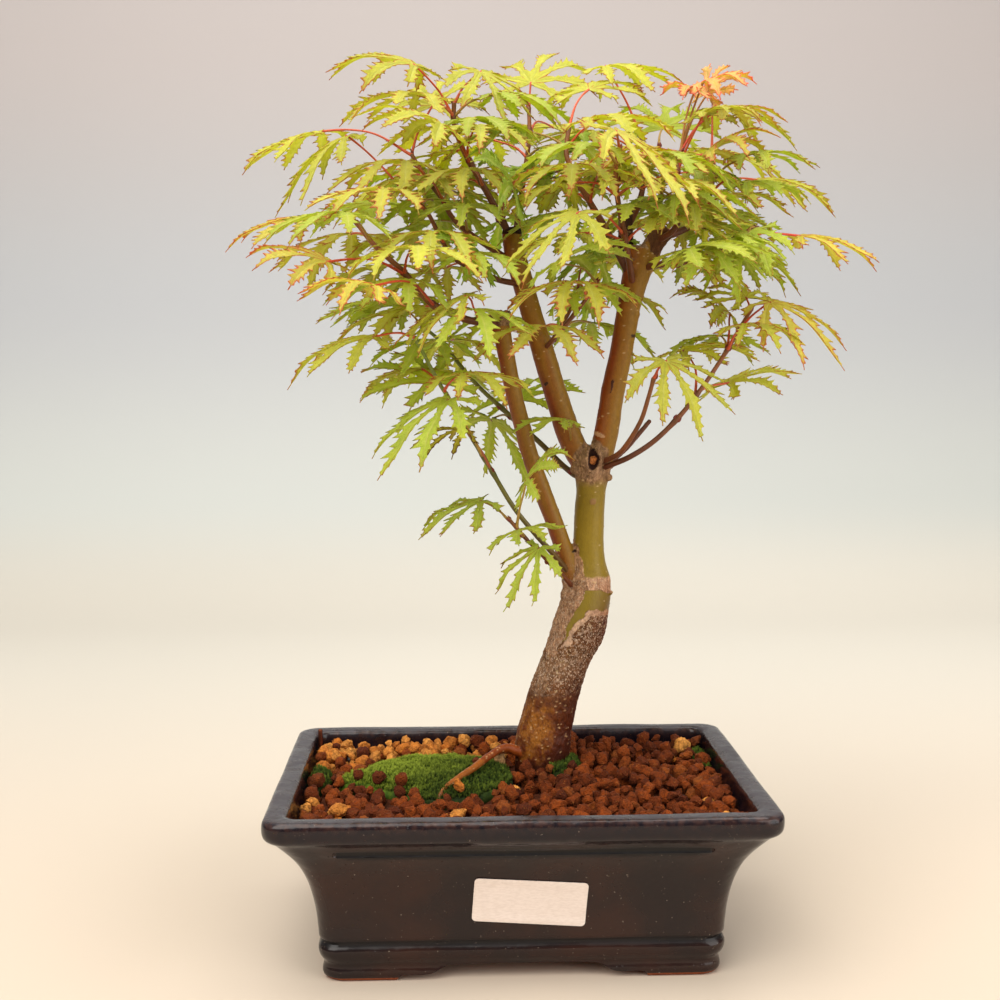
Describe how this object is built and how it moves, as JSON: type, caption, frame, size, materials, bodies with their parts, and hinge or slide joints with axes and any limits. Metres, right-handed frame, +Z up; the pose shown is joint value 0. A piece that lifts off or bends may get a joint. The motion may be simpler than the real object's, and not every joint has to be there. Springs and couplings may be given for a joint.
{
  "type": "potted bonsai maple tree",
  "caption": "Young maple bonsai with a slanting trunk, forked limbs and finely cut leaves, in a rectangular glazed pot with granular soil and moss.",
  "frame": {"origin": "on the table, under the middle of the whole plant's bounding box", "axes": "+Z up, -Y out of the pot's front, the long side with the label, +X to the right seen from the front"},
  "size_m": [0.2671, 0.2038, 0.3736],
  "materials": {
    "glazed_clay": "glossy blue-black glaze",
    "akadama": "rough crumbly baked clay grains",
    "moss": "short soft moss",
    "bark": "fissured bark, olive green higher up",
    "young_bark": "smooth reddish young bark",
    "leaf_green": "thin satin leaf",
    "leaf_red": "thin satin young leaf",
    "label_paper": "smooth white paper",
    "screen_mesh": "woven plastic mesh",
    "tie_wire": "brown anodised wire"
  },
  "bodies": {
    "root": {"pot": "glazed_clay", "soil": "akadama", "moss_patch": "moss", "moss_by_trunk": "moss", "drain_screen_left": "screen_mesh", "drain_screen_right": "screen_mesh", "tie_wire": "tie_wire", "sticker": "label_paper", "trunk": "bark", "shoot_left_main": "young_bark", "shoot_left_low": "young_bark", "shoot_left_basal": "young_bark", "shoot_left_back": "young_bark", "shoot_top_left_a": "young_bark", "shoot_top_left_b": "young_bark", "shoot_top_middle": "young_bark", "shoot_crown_back": "young_bark", "shoot_inner_back": "young_bark", "shoot_inner_front": "young_bark", "shoot_crown_left": "young_bark", "shoot_crown_front": "young_bark", "shoot_right_main": "young_bark", "shoot_right_middle": "young_bark", "shoot_right_upper": "young_bark", "shoot_right_inner": "young_bark", "shoot_crown_right": "young_bark", "shoot_right_back": "young_bark", "shoot_low_right": "young_bark", "shoot_low_right_inner": "young_bark", "leaf_top_left": "leaf_green", "leaf_top_back": "leaf_green", "leaf_top_right": "leaf_green", "leaf_young_red": "leaf_red", "leaf_crown_right": "leaf_green", "leaf_crown_front": "leaf_green", "leaf_right_high_back": "leaf_green", "leaf_right_high": "leaf_green", "leaf_right_far": "leaf_green", "leaf_right_front": "leaf_green", "leaf_low_right_far": "leaf_green", "leaf_low_right_front": "leaf_green", "leaf_low_right_back": "leaf_green", "leaf_left_high": "leaf_green", "leaf_left_high_back": "leaf_green", "leaf_left_upper": "leaf_green", "leaf_left_far": "leaf_green", "leaf_left_middle": "leaf_green", "leaf_left_front": "leaf_green", "leaf_left_back": "leaf_green", "leaf_front_low": "leaf_green", "leaf_front_middle": "leaf_green", "leaf_front_star": "leaf_green", "leaf_low_left_far": "leaf_green", "leaf_low_left_front": "leaf_green", "leaf_base_upper": "leaf_green", "leaf_base_left": "leaf_green", "leaf_base_low": "leaf_green", "leaf_back_left": "leaf_green", "leaf_back_right": "leaf_green", "leaf_back_low": "leaf_green"}
  },
  "joints": []
}
